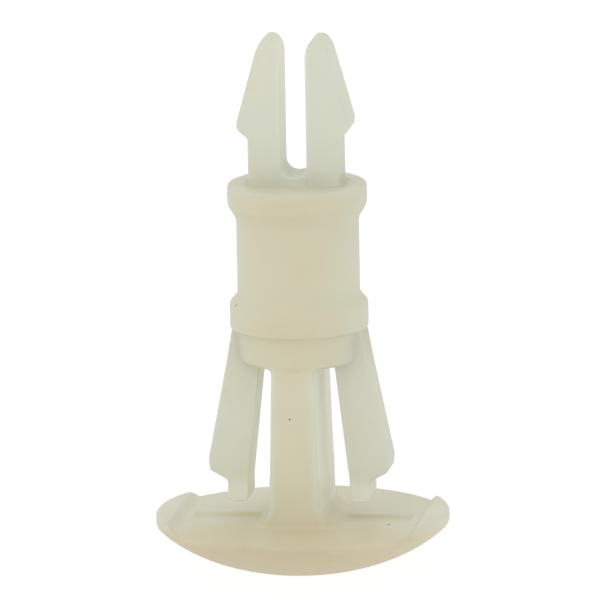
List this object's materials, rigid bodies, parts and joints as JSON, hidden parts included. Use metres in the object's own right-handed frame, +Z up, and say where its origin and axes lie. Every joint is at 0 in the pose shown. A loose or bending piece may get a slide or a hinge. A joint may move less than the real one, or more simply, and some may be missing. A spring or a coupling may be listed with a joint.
{
  "type": "circuit board standoff",
  "caption": "Snap-in nylon standoff: domed blind head, splayed legs that lock in a panel hole, round spacer barrel with flanges, and barbed prongs for a circuit board hole.",
  "frame": {"origin": "middle of the domed head's bottom, where the standoff rests", "axes": "+Z up the barrel from the head to the prongs' tips, X from the left leg to the right leg, Y along the depth of the legs and prongs"},
  "size_m": [0.0118, 0.0118, 0.0219],
  "materials": {
    "natural_nylon": "natural unfilled nylon, milky and slightly yellow, satin as moulded"
  },
  "bodies": {
    "molding": {"dome_head": "natural_nylon", "left_panel_lip": "natural_nylon", "right_panel_lip": "natural_nylon", "center_post": "natural_nylon", "barrel_foot": "natural_nylon", "lower_flange": "natural_nylon", "spacer_barrel": "natural_nylon", "board_flange": "natural_nylon"},
    "left_leg": {"left_leg_arm": "natural_nylon", "left_leg_toe": "natural_nylon"},
    "right_leg": {"right_leg_arm": "natural_nylon", "right_leg_toe": "natural_nylon"},
    "left_prong": {"left_prong_stem": "natural_nylon", "left_prong_barb": "natural_nylon"},
    "right_prong": {"right_prong_stem": "natural_nylon", "right_prong_barb": "natural_nylon"}
  },
  "joints": [
    {"name": "left_leg_flex", "type": "hinge", "parent": "molding", "child": "left_leg", "pos_m": [-0.00225, 0, 0.00865], "axis": [0, -1, 0], "range_deg": [-1.5, 9], "stiffness_Nm_per_rad": 0.3},
    {"name": "right_leg_flex", "type": "hinge", "parent": "molding", "child": "right_leg", "pos_m": [0.00225, 0, 0.00865], "axis": [0, 1, 0], "range_deg": [-1.5, 9], "stiffness_Nm_per_rad": 0.3},
    {"name": "left_prong_flex", "type": "hinge", "parent": "molding", "child": "left_prong", "pos_m": [-0.00119, 0, 0.01588], "axis": [0, 1, 0], "range_deg": [-1, 5.5], "stiffness_Nm_per_rad": 0.6},
    {"name": "right_prong_flex", "type": "hinge", "parent": "molding", "child": "right_prong", "pos_m": [0.00119, 0, 0.01588], "axis": [0, -1, 0], "range_deg": [-1, 5.5], "stiffness_Nm_per_rad": 0.6}
  ]
}
